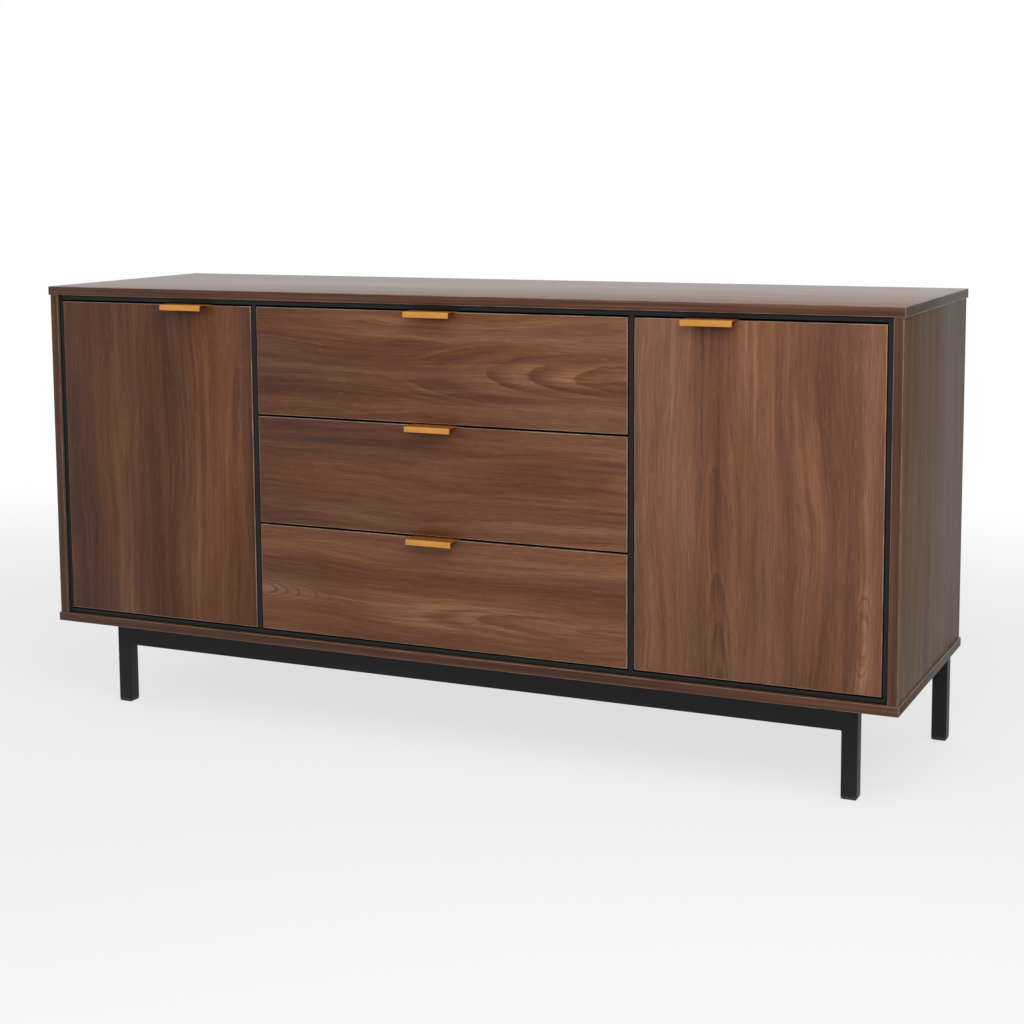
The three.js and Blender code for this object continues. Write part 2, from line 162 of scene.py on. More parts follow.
class ShaderGraph:
    """Node tree of a material or a world, filled node by node."""

    def __init__(self, owner: bpy.types.Material | bpy.types.World) -> None:
        """Clear the owner's tree.

        Args:
            owner: Material or world that the nodes belong to.
        """
        owner.use_nodes = True
        self.owner = owner
        self.tree = owner.node_tree
        self.tree.nodes.clear()

    def node(
        self,
        kind: str,
        settings: dict[str, object] | None = None,
        sockets: dict[int | str, object] | None = None,
        output: int | str = 0,
    ) -> Channel:
        """Add one node.

        Args:
            kind: Node type without its ShaderNode prefix.
            settings: Properties, set before the sockets; "stops" fills a colour ramp.
            sockets: Values or channels by input name or number.
            output: Output to return.

        Returns:
            The chosen output as a channel.
        """
        made = self.tree.nodes.new(f"ShaderNode{kind}")
        for name, value in (settings or {}).items():
            if name == "stops":
                self._set_stops(made.color_ramp, value)
            else:
                setattr(made, name, value)
        for key, value in (sockets or {}).items():
            self._feed(made.inputs[key], value)
        return Channel(self, made.outputs[output])

    @staticmethod
    def _set_stops(ramp: bpy.types.ColorRamp, stops: Stops) -> None:
        """Give a colour ramp its places and colours."""
        while len(ramp.elements) < len(stops):
            ramp.elements.new(1.0)
        for element, (place, colour) in zip(ramp.elements, stops):
            element.position = place
            element.color = (*colour, 1.0)

    def _feed(self, target: bpy.types.NodeSocket, value: object) -> None:
        """Link a channel to an input, or set the input's own value."""
        if isinstance(value, Channel):
            self.tree.links.new(value.socket, target)
        elif target.type == "RGBA":
            target.default_value = (*value, 1.0)
        else:
            target.default_value = value

    def math(self, operation: str, first: Number, second: Number = 0.0) -> Channel:
        """One Math node on one or two values."""
        return self.node("Math", {"operation": operation}, {0: first, 1: second})

    def place(self, seed: float) -> Channel:
        """Object coordinates, moved so that each seed reads another part of the patterns."""
        shift = (1.31 * seed, 0.77 * seed, 2.03 * seed)
        here = self.node("TexCoord", output="Object")
        return self.node("VectorMath", {"operation": "ADD"}, {0: here, 1: shift})

    def stretched(self, vector: Channel, scale: Triple) -> Channel:
        """Vector with each part multiplied by its own number."""
        return self.node("VectorMath", {"operation": "MULTIPLY"}, {0: vector, 1: scale})

    def part(self, vector: Channel, axis: Axis) -> Channel:
        """One part of a vector."""
        return self.node("SeparateXYZ", None, {0: vector}, axis.name)

    def noise(self, vector: Channel, detail: float = 2.0, rough: float = 0.5) -> Channel:
        """Noise over three directions, about one lump to each unit of the vector."""
        sockets = {"Vector": vector, "Scale": 1.0, "Detail": detail, "Roughness": rough}
        return self.node("TexNoise", {"noise_dimensions": "3D"}, sockets, "Fac")

    def noise_along(self, value: Channel, detail: float = 2.0, rough: float = 0.5) -> Channel:
        """Noise along a line, about one lump to each unit of the value."""
        sockets = {"W": value, "Scale": 1.0, "Detail": detail, "Roughness": rough}
        return self.node("TexNoise", {"noise_dimensions": "1D"}, sockets, "Fac")

    def step(self, value: Channel, low: float, high: float) -> Channel:
        """Smooth step from 0 at low to 1 at high."""
        settings = {"interpolation_type": "SMOOTHSTEP"}
        sockets = {"Value": value, "From Min": low, "From Max": high}
        return self.node("MapRange", settings, sockets)

    def ramp(self, value: Channel, stops: Stops) -> Channel:
        """Colour by value."""
        return self.node("ValToRGB", {"stops": stops}, {0: value})

    def mix(self, share: Number, first: object, second: object, blend: str = "MIX") -> Channel:
        """Mix of two colours; the share is the second one's."""
        settings = {"data_type": "RGBA", "blend_type": blend}
        return self.node("Mix", settings, {0: share, 6: first, 7: second}, 2)

    def bump(self, height: Channel, depth: float, strength: float = 1.0) -> Channel:
        """Normal of a surface with relief; depth is the height of its full range."""
        return self.node("Bump", None, {"Strength": strength, "Distance": depth, "Height": height})

    def surface(self, sockets: dict[str, object]) -> bpy.types.Material:
        """Finish the material with one principled shader.

        Args:
            sockets: Values or channels of the shader's inputs by name.

        Returns:
            The finished material.
        """
        self.end("Material", self.node("BsdfPrincipled", None, sockets))
        return self.owner

    def end(self, kind: str, shader: Channel) -> None:
        """Close the tree with its output node."""
        closing = self.tree.nodes.new(f"ShaderNodeOutput{kind}")
        self.tree.links.new(shader.socket, closing.inputs["Surface"])


def new_graph(name: str) -> ShaderGraph:
    """Graph of a new material."""
    return ShaderGraph(bpy.data.materials.new(name))


@dataclass(frozen=True)
class Cathedral:
    """Nested arches of growth rings, where a lengthwise cut comes out of the heart of the log.

    The heart runs along the grain at `heart` across it, and meets the face at `apex` along it. The
    arches lie `rings` to the metre across the grain and fade out at `reach` from the heart. Each ring
    has a dark line that pales over `fade` of the ring, outwards, or inwards where `rings` is negative.
    They come and go by `patchy` of their strength.
    """

    heart: float
    apex: float
    slope: float
    rings: float
    strength: float
    reach: float
    fade: float = 0.75
    patchy: float = 0.0


@dataclass(frozen=True)
class GrainBand:
    """Broad band of darker or paler wood along the grain.

    It lies at `middle` across the grain, fades out `half` to each side and moves the tone by `shift`.
    """

    middle: float
    half: float
    shift: float


@dataclass(frozen=True)
class WalnutLaminate:
    """Printed walnut board: clouds, bands, streaks, fibres, pores and arches of growth rings.

    The tone is moved by `lightness` all over, and by `lengthwise` for each metre along the grain.
    """

    name: str
    grain: Axis
    across: Axis
    seed: float
    figures: tuple[Cathedral, ...] = ()
    broad_bands: tuple[GrainBand, ...] = ()
    lightness: float = 0.0
    lengthwise: float = 0.0
    gloss: float = 0.20
    tones: Stops = (
        (0.10, (0.066, 0.021, 0.010)),
        (0.32, (0.103, 0.035, 0.016)),
        (0.50, (0.145, 0.054, 0.024)),
        (0.68, (0.194, 0.080, 0.038)),
        (0.92, (0.290, 0.142, 0.074)),
    )
    pore_colour: Triple = (0.040, 0.015, 0.010)
    pale_colour: Triple = (0.330, 0.180, 0.105)
    plum_tint: Triple = (0.97, 1.01, 1.14)
    gold_tint: Triple = (1.03, 0.99, 0.86)

    @cache
    def material(self) -> bpy.types.Material:
        """The material of this board's faces."""
        g = new_graph(self.name)
        still = g.place(self.seed)
        drift = g.noise(g.stretched(still, self.grain.spread(2.4, 9.0)), 2.0) - 0.5
        ripple = g.noise(g.stretched(still, self.grain.spread(14.0, 60.0)), 2.0) - 0.5
        wander = drift * 0.050 + ripple * 0.006
        sideways = g.node("VectorMath", {"operation": "SCALE"}, {0: self.across.unit(), "Scale": wander})
        place = g.node("VectorMath", {"operation": "ADD"}, {0: still, 1: sideways})

        def grains(along: float, across: float, detail: float) -> Channel:
            """Noise drawn out along the grain."""
            return g.noise(g.stretched(place, self.grain.spread(along, across)), detail, 0.6)

        clouds = grains(1.8, 12.0, 2.0) - 0.5
        bands = grains(1.1, 36.0, 2.0) - 0.5
        streaks = grains(4.0, 140.0, 3.0) - 0.5
        presence = g.step(grains(3.0, 21.0, 1.0), 0.36, 0.64)
        fibres = grains(18.0, 620.0, 2.0)
        pores = g.step(grains(36.0, 1100.0, 1.0), 0.60, 0.74)
        dashes = g.step(grains(46.0, 560.0, 1.0), 0.63, 0.76)
        warmth = g.step(grains(1.5, 16.0, 1.0), 0.36, 0.64)
        tone = clouds * 0.70 + bands * 0.60 + streaks * (presence * 0.50 + 0.30) + fibres * 0.45
        tone = tone + (0.275 + self.lightness)
        if self.lengthwise:
            tone = tone + g.part(g.node("TexCoord", output="Object"), self.grain) * self.lengthwise
        jag = grains(60.0, 150.0, 2.0) - 0.5
        gaps = 1.0 - g.step(grains(6.0, 34.0, 1.0), 0.36, 0.60)
        for band in self.broad_bands:
            tone = tone + self._broad_band(g, band, wander)
        for figure in self.figures:
            arches = self._arches(g, figure, wander + jag * 0.006)
            tone = tone + arches * (1.0 - gaps * figure.patchy)
        tint = g.mix(warmth, self.plum_tint, self.gold_tint)
        colour = g.mix(1.0, g.ramp(tone, self.tones), tint, "MULTIPLY")
        colour = g.mix(dashes * 0.22, colour, self.pale_colour)
        return g.surface(
            {
                "Base Color": g.mix(pores * 0.45, colour, self.pore_colour),
                "Roughness": 0.25 + fibres * 0.14,
                "Specular IOR Level": self.gloss,
                "Normal": g.bump(fibres - pores * 0.7, 0.0001, 0.5),
            }
        )

    def _broad_band(self, g: ShaderGraph, band: GrainBand, wander: Channel) -> Channel:
        """Change of tone by one broad band that follows the wander of the grain."""
        here = g.node("TexCoord", output="Object")
        offset = g.math("ABSOLUTE", g.part(here, self.across) - band.middle + wander)
        return (1.0 - g.step(offset, 0.2 * band.half, 1.2 * band.half)) * band.shift

    def _arches(self, g: ShaderGraph, figure: Cathedral, wander: Channel) -> Channel:
        """Change of tone by one set of arches.

        Args:
            g: Graph of the material.
            figure: Place and size of the arches.
            wander: Sideways wander of the grain.

        Returns:
            Tone that rises from each dark ring line towards the next one.
        """
        here = g.node("TexCoord", output="Object")
        offset = g.part(here, self.across) - figure.heart + wander
        rise = (g.part(here, self.grain) - figure.apex) * figure.slope
        radius = g.math("SQRT", offset * offset + rise * rise)
        ring = radius * figure.rings
        late = g.math("FRACT", ring + g.noise_along(ring * 0.7 + self.seed, 1.0) * 1.5)
        growth = g.step(late, 0.0, figure.fade) - g.step(late, 0.90, 1.0) - 0.5
        near = 1.0 - g.step(radius, 0.55 * figure.reach, figure.reach)
        tip = g.step(g.math("DIVIDE", g.math("ABSOLUTE", rise), radius), 0.10, 0.90)
        return growth * near * tip * figure.strength


@dataclass(frozen=True)
class EdgeBand:
    """Walnut edging strip, with its grain along the edge."""

    run: Axis
    lightness: float = 0.0
    gloss: float = 0.20
    tones: Stops = (
        (0.15, (0.050, 0.018, 0.010)),
        (0.50, (0.098, 0.039, 0.021)),
        (0.85, (0.175, 0.082, 0.046)),
    )

    @cache
    def material(self) -> bpy.types.Material:
        """The material of edges that run along one axis."""
        g = new_graph(f"walnut_edge_{self.run.name.lower()}")
        place = g.place(4.0 + self.run.value)
        streaks = g.noise(g.stretched(place, self.run.spread(2.5, 300.0)), 3.0, 0.6)
        cloud = g.noise(g.stretched(place, self.run.spread(3.0, 20.0)), 2.0)
        tone = streaks * 1.20 + cloud * 0.40 + (self.lightness - 0.30)
        return g.surface(
            {
                "Base Color": g.ramp(tone, self.tones),
                "Roughness": 0.28 + streaks * 0.14,
                "Specular IOR Level": self.gloss,
                "Normal": g.bump(streaks, 0.0001, 0.5),
            }
        )


@dataclass(frozen=True)
class TrimmedArris:
    """Pale line where the edging strip is trimmed flush with the face of the board."""

    name: str
    pale: Triple
    brown: Triple

    @cache
    def material(self) -> bpy.types.Material:
        """The material of the trimmed edges."""
        g = new_graph(self.name)
        wear = g.noise(g.stretched(g.place(1.0), (22.0, 22.0, 22.0)), 3.0, 0.65)
        return g.surface(
            {
                "Base Color": g.mix(g.step(wear, 0.35, 0.68), self.pale, self.brown),
                "Roughness": 0.36 + wear * 0.16,
                "Specular IOR Level": 0.35,
            }
        )


@dataclass(frozen=True)
class MattBoard:
    """Dark laminate with a fine printed bead."""

    name: str
    colour: Triple
    seed: float = 0.0
    roughness: float = 0.46

    @cache
    def material(self) -> bpy.types.Material:
        """The material of the board."""
        g = new_graph(self.name)
        place = g.place(self.seed)
        bead = g.noise(g.stretched(place, (1400.0, 1400.0, 1400.0)), 1.0)
        cloud = g.noise(g.stretched(place, (9.0, 9.0, 9.0)), 3.0)
        darker = tuple(0.78 * part for part in self.colour)
        lighter = tuple(1.18 * part for part in self.colour)
        return g.surface(
            {
                "Base Color": g.mix(cloud * 0.6 + bead * 0.4, darker, lighter),
                "Roughness": self.roughness + cloud * 0.10,
                "Specular IOR Level": 0.22,
                "Normal": g.bump(bead, 0.00008, 0.5),
            }
        )


@dataclass(frozen=True)
class Hardboard:
    """Pressed fibre sheet, dark on both faces."""

    dark: Triple = (0.020, 0.018, 0.017)
    light: Triple = (0.048, 0.042, 0.037)

    @cache
    def material(self) -> bpy.types.Material:
        """The material of the back panel."""
        g = new_graph("hardboard")
        place = g.place(6.0)
        strands = g.noise(g.stretched(place, (260.0, 700.0, 90.0)), 4.0, 0.65)
        cloud = g.noise(g.stretched(place, (5.0, 5.0, 5.0)), 2.0)
        return g.surface(
            {
                "Base Color": g.mix(strands * 0.7 + cloud * 0.3, self.dark, self.light),
                "Roughness": 0.58 + strands * 0.16,
                "Normal": g.bump(strands, 0.0002, 0.6),
            }
        )


@dataclass(frozen=True)
class PowderCoat:
    """Black powder coat with a fine orange peel."""

    colour: Triple = (0.0062, 0.0062, 0.0066)
    scuffed: Triple = (0.0115, 0.0115, 0.0120)

    @cache
    def material(self) -> bpy.types.Material:
        """The material of the steel base."""
        g = new_graph("black_powder_coat")
        place = g.place(2.0)
        peel = g.noise(g.stretched(place, (620.0, 620.0, 620.0)), 2.0)
        scuffs = g.noise(g.stretched(place, (14.0, 14.0, 14.0)), 4.0, 0.6)
        return g.surface(
            {
                "Base Color": g.mix(g.step(scuffs, 0.45, 0.75), self.colour, self.scuffed),
                "Roughness": 0.44 + peel * 0.16,
                "Specular IOR Level": 0.24,
                "Normal": g.bump(peel, 0.00016, 0.7),
            }
        )


@dataclass(frozen=True)
class MouldedPlastic:
    """Black moulded plastic with a spark-eroded grain."""

    colour: Triple = (0.012, 0.012, 0.012)
    lighter: Triple = (0.022, 0.022, 0.023)

    @cache
    def material(self) -> bpy.types.Material:
        """The material of the feet and small plastic pieces."""
        g = new_graph("black_plastic")
        grain = g.noise(g.stretched(g.place(3.0), (1500.0, 1500.0, 1500.0)), 2.0)
        return g.surface(
            {
                "Base Color": g.mix(grain, self.colour, self.lighter),
                "Roughness": 0.50 + grain * 0.18,
                "Normal": g.bump(grain, 0.00008, 0.6),
            }
        )


@dataclass(frozen=True)
class BrushedBrass:
    """Satin brass, brushed along the pull."""

    bright: Triple = (0.755, 0.372, 0.090)
    deep: Triple = (0.500, 0.190, 0.030)

    @cache
    def material(self) -> bpy.types.Material:
        """The material of the pulls."""
        g = new_graph("brushed_brass")
        place = g.place(5.0)
        brushing = g.noise(g.stretched(place, (16.0, 1300.0, 1300.0)), 3.0, 0.6)
        patina = g.noise(g.stretched(place, (34.0, 60.0, 60.0)), 3.0, 0.6)
        return g.surface(
            {
                "Base Color": g.mix(brushing * 0.9 + patina * 0.9 - 0.4, self.deep, self.bright),
                "Roughness": 0.30 + brushing * 0.22,
                "Metallic": 0.72,
                "Normal": g.bump(brushing, 0.00004, 0.5),
            }
        )


@dataclass(frozen=True)
class PlatedSteel:
    """Pressed steel with a bright plating."""

    name: str
    dark: Triple
    light: Triple
    roughness: float
    run: Axis = Axis.Y

    @cache
    def material(self) -> bpy.types.Material:
        """The material of hinges, slides or screws."""
        g = new_graph(self.name)
        place = g.place(7.0)
        rolling = g.noise(g.stretched(place, self.run.spread(20.0, 900.0)), 2.0)
        cloud = g.noise(g.stretched(place, (60.0, 60.0, 60.0)), 3.0)
        return g.surface(
            {
                "Base Color": g.mix(cloud, self.dark, self.light),
                "Roughness": self.roughness + rolling * 0.14,
                "Metallic": 0.84,
                "Normal": g.bump(rolling, 0.00003, 0.4),
            }
        )


BLACK_LAMINATE = MattBoard("black_laminate", (0.0090, 0.0092, 0.0098))
CHARCOAL_LAMINATE = MattBoard("charcoal_laminate", (0.040, 0.040, 0.042), seed=2.0, roughness=0.52)
HARDBOARD = Hardboard()
POWDER_COAT = PowderCoat()
PLASTIC = MouldedPlastic()
BRASS = BrushedBrass()
NICKEL = PlatedSteel("nickel_plate", (0.50, 0.48, 0.45), (0.68, 0.66, 0.62), 0.27)
ZINC = PlatedSteel("zinc_plate", (0.42, 0.44, 0.47), (0.60, 0.62, 0.64), 0.30)
FRONT_ARRIS = TrimmedArris("front_arris", (0.330, 0.235, 0.175), (0.180, 0.105, 0.070))
CASE_ARRIS = TrimmedArris("case_arris", (0.210, 0.140, 0.100), (0.115, 0.062, 0.040))


def shaded(tones: Stops) -> Stops:
    """Walnut tones with painted side light: faces that look to the sides of the room get the olive-grey veil of its
    light painted in, drawn to the middle tone and with less red.
    """
    middle = tones[len(tones) // 2][1]

    def flatter(colour: Triple) -> Triple:
        """The colour with the painted veil of side light, nearer to the middle one and duller."""
        return tuple(
            share * (0.55 * value + 0.45 * mid) for share, value, mid in zip((0.98, 1.62, 2.30), colour, middle)
        )

    return tuple((place, flatter(colour)) for place, colour in tones)


EDGES = {
    Axis.X: EdgeBand(Axis.X, lightness=-0.09),
    # Edges that run along Y face the sides of the room and take the same painted side light.
    Axis.Y: EdgeBand(Axis.Y, gloss=0.015, tones=shaded(EdgeBand.tones)),
    Axis.Z: EdgeBand(Axis.Z, lightness=-0.07),
}


class Solid:
    """Mesh under construction, in the frame of the credenza."""

    def __init__(self) -> None:
        """Start empty."""
        self.mesh = bmesh.new()

    @classmethod
    def of_node(cls, node: str) -> "Solid":
        """Copy of a node of the construction, with its flat faces whole again."""
        solid = cls()
        solid.mesh.from_mesh(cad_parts[node].data)
        bmesh.ops.remove_doubles(solid.mesh, verts=solid.mesh.verts[:], dist=WELD_DISTANCE)
        bmesh.ops.dissolve_limit(
            solid.mesh,
            angle_limit=FLAT_ANGLE,
            verts=solid.mesh.verts[:],
            edges=solid.mesh.edges[:],
        )
        for face in solid.mesh.faces:
            face.material_index = 0
        return solid

    def block(self, low: Vector, high: Vector) -> "Solid":
        """Add a box between two corners."""
        size = Matrix.Diagonal((*(high - low), 1.0))
        matrix = Matrix.Translation((low + high) / 2) @ size
        bmesh.ops.create_cube(self.mesh, size=1.0, matrix=matrix)
        return self

    def loft(self, loops: Sequence[Sequence[Vector]]) -> "Solid":
        """Add a skin over loops of equal counts, closed by a flat cap at each end."""
        rings = [[self.mesh.verts.new(point) for point in loop] for loop in loops]
        count = len(loops[0])
        for ring, following in zip(rings, rings[1:]):
            for i in range(count):
                j = (i + 1) % count
                self.mesh.faces.new((ring[i], ring[j], following[j], following[i]))
        self.mesh.faces.new(rings[0][::-1])
        self.mesh.faces.new(rings[-1])
        return self

    def copies(self, template: "Solid", matrices: Iterable[Matrix]) -> "Solid":
        """Add a copy of another solid at each matrix."""
        for matrix in matrices:
            made = [self.mesh.verts.new(matrix @ vertex.co) for vertex in template.mesh.verts]
            for face in template.mesh.faces:
                self.mesh.faces.new([made[vertex.index] for vertex in face.verts])
        return self

    def ease(self, width: float, segments: int = 2, material: int = -1) -> "Solid":
        """Round over the sharp edges.

        Args:
            width: Width taken off each face.
            segments: Steps of the rounding.
            material: Slot of the rounded faces, or -1 for that of their neighbours.

        Returns:
            This solid.
        """
        self.mesh.normal_update()
        sharp = [e for e in self.mesh.edges if e.is_manifold and e.calc_face_angle() > SMOOTH_ANGLE]
        bmesh.ops.bevel(
            self.mesh,
            geom=sharp,
            offset=width,
            offset_type="OFFSET",
            segments=segments,
            profile=0.5,
            affect="EDGES",
            clamp_overlap=True,
            material=material,
        )
        return self

    def piece(
        self,
        name: str,
        body: Body,
        slot: Slot,
        materials: Sequence[bpy.types.Material],
        replaces: Sequence[str] = (),
    ) -> bpy.types.Object:
        """Turn the solid into a piece of the credenza.

        Args:
            name: Name of the piece.
            body: Body that it moves with.
            slot: Material slot of the record that its finish stands for; not used.
            materials: Materials by slot number of the faces.
            replaces: Nodes of the construction that it stands for.

        Returns:
            The new object.
        """
        bmesh.ops.recalc_face_normals(self.mesh, faces=self.mesh.faces[:])
        data = bpy.data.meshes.new(name)
        self.mesh.to_mesh(data)
        self.mesh.free()
        for material in materials:
            data.materials.append(material)
        data.polygons.foreach_set("use_smooth", [True] * len(data.polygons))
        data.set_sharp_from_angle(angle=SMOOTH_ANGLE)
        made = bpy.data.objects.new(name, data)
        bpy.context.scene.collection.objects.link(made)
        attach(made, body.value)
        if replaces:
            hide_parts(*replaces)
        LOG.info("%s rides on %s with %d faces", name, body.value, len(data.polygons))
        return made


def eased_node(node: str, body: Body, slot: Slot, material: bpy.types.Material, width: float) -> None:
    """Stand a copy of a node in its place, with its edges rounded over.

    Args:
        node: Node of the construction.
        body: Body that it moves with.
        slot: Material slot of the record.
        material: Material of the whole piece.
        width: Width of the rounding.
    """
    solid = Solid.of_node(node).ease(width)
    solid.piece(f"{node}_eased", body, slot, [material], [node])


@dataclass(frozen=True)
class WalnutBoard:
    """Board with a printed face, edging strips and trimmed arrises."""

    node: str
    body: Body
    face: Axis
    laminate: WalnutLaminate
    arris: float = 0.0011

    def build(self, bores: Sequence[tuple[Vector, float, float]] = ()) -> bpy.types.Object:
        """Make the board in the place of its node.

        Args:
            bores: Blind holes in the back, each as middle, radius and depth.

        Returns:
            The new piece.
        """
        low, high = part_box(self.node)
        solid = Solid().block(low, high)
        runs = [axis for axis in Axis if axis is not self.face]
        for face in solid.mesh.faces:
            normal = max(Axis, key=lambda axis: abs(face.normal[axis.value]))
            face.material_index = 0 if normal is self.face else 1 + runs.index(self.face.remaining(normal))
        solid.ease(self.arris, segments=2, material=1 + len(runs))
        arris = CASE_ARRIS if self.body is Body.CARCASS else FRONT_ARRIS
        materials = [self.laminate.material(), *(EDGES[run].material() for run in runs), arris.material()]
        piece = solid.piece(f"{self.node}_board", self.body, Slot.WALNUT, materials, [self.node])
        if bores:
            self._bore(piece, bores)
        return piece

    @staticmethod
    def _bore(piece: bpy.types.Object, bores: Sequence[tuple[Vector, float, float]]) -> None:
        """Cut blind round holes into the rear face of a board."""
        cutter = Solid()
        for middle, radius, depth in bores:
            loops = [round_loop(middle + Vector((0.0, y, 0.0)), radius) for y in (-depth, depth)]
            cutter.loft(loops)
        bmesh.ops.recalc_face_normals(cutter.mesh, faces=cutter.mesh.faces[:])
        data = bpy.data.meshes.new("bores")
        cutter.mesh.to_mesh(data)
        cutter.mesh.free()
        drill = bpy.data.objects.new("bores", data)
        bpy.context.scene.collection.objects.link(drill)
        cut = piece.modifiers.new("bores", "BOOLEAN")
        cut.operation = "DIFFERENCE"
        cut.solver = "EXACT"
        cut.object = drill
        bpy.context.view_layer.update()
        depsgraph = bpy.context.evaluated_depsgraph_get()
        bored = bpy.data.meshes.new_from_object(piece.evaluated_get(depsgraph))
        piece.modifiers.clear()
        piece.data = bored
        bpy.data.objects.remove(drill)


def round_loop(middle: Vector, radius: float, count: int = 48) -> list[Vector]:
    """Circle of points round an axis along Y."""
    angles = [2 * math.pi * i / count for i in range(count)]
    return [middle + Vector((radius * math.cos(a), 0.0, radius * math.sin(a))) for a in angles]


def square_loop(middle: Vector, half: float, corner: float, steps: int = 4) -> list[Vector]:
    """Rounded square of points at one height.

    Args:
        middle: Middle of the square.
        half: Half of its width.
        corner: Radius of its corners.
        steps: Steps of each corner.

    Returns:
        The points, anticlockwise seen from above.
    """
    points = []
    for quarter in range(4):
        turn = Matrix.Rotation(quarter * math.pi / 2, 3, "Z")
        for i in range(steps + 1):
            angle = i / steps * math.pi / 2
            reach = half - corner
            arc = Vector((reach + corner * math.cos(angle), reach + corner * math.sin(angle), 0.0))
            points.append(middle + turn @ arc)
    return points


@dataclass(frozen=True)
class CrossScrew:
    """Pan-head screw with a cross recess."""

    radius: float = 0.0036
    height: float = 0.0021
    arm: float = 0.0019
    arm_width: float = 0.0007
    recess: float = 0.0012
    sides: int = 20

    def template(self) -> Solid:
        """The head, with its seat at the origin and its top towards +Z."""
        solid = Solid()
        profile = [(1.0, 0.0), (1.0, 0.35), (0.90, 0.78), (0.68, 1.0)]
        rings = []
        for share, rise in profile:
            ring = []
            for i in range(self.sides):
                angle = 2 * math.pi * i / self.sides
                reach = self.radius * share
                point = (reach * math.cos(angle), reach * math.sin(angle), self.height * rise)
                ring.append(solid.mesh.verts.new(point))
            rings.append(ring)
        for ring, following in zip(rings, rings[1:]):
            for i in range(self.sides):
                j = (i + 1) % self.sides
                solid.mesh.faces.new((ring[i], ring[j], following[j], following[i]))
        solid.mesh.faces.new(rings[0][::-1])
        rim = [solid.mesh.verts.new((x, y, self.height)) for x, y in self._cross()]
        floor = [solid.mesh.verts.new((x, y, self.height - self.recess)) for x, y in self._cross()]
        for i in range(len(rim)):
            j = (i + 1) % len(rim)
            solid.mesh.faces.new((rim[j], rim[i], floor[i], floor[j]))
        solid.mesh.faces.new(floor)
        edges = [solid.mesh.edges.get((a, b)) for a, b in zip(rim, rim[1:] + rim[:1])]
        top = rings[-1]
        edges += [solid.mesh.edges.get((a, b)) for a, b in zip(top, top[1:] + top[:1])]
        bmesh.ops.bridge_loops(solid.mesh, edges=edges)
        solid.mesh.verts.index_update()
        return solid

    def _cross(self) -> list[tuple[float, float]]:
        """Outline of the recess."""
        long, short = self.arm, self.arm_width / 2
        quarter = [(long, -short), (long, short), (short, short)]
        points = []
        for turn in range(4):
            cosine, sine = round(math.cos(turn * math.pi / 2)), round(math.sin(turn * math.pi / 2))
            points += [(x * cosine - y * sine, x * sine + y * cosine) for x, y in quarter]
        return points


SCREW = CrossScrew()
SMALL_SCREW = CrossScrew(radius=0.0030, height=0.0016, arm=0.0016, arm_width=0.0006, recess=0.0009)
FLAT_SCREW = CrossScrew(radius=0.0032, height=0.0008, arm=0.0016, arm_width=0.0006, recess=0.0005)


def screws(
    name: str,
    body: Body,
    seats: Sequence[tuple[Vector, Vector]],
    screw: CrossScrew = SCREW,
    finish: PlatedSteel = NICKEL,
) -> None:
    """Set screws on surfaces.

    Args:
        name: Name of the piece that holds them all.
        body: Body that they move with.
        seats: Point on the surface and direction out of it for each screw.
        screw: Kind of screw.
        finish: Plating.
    """
    matrices = [
        Matrix.Translation(point) @ out.to_track_quat("Z", "Y").to_matrix().to_4x4() for point, out in seats
    ]
    slot = Slot.NICKEL if finish is NICKEL else Slot.ZINC
    Solid().copies(screw.template(), matrices).piece(name, body, slot, [finish.material()])


def spaced(start: float, end: float, count: int) -> list[float]:
    """Evenly spaced numbers from start to end."""
    return [start + (end - start) * i / (count - 1) for i in range(count)]


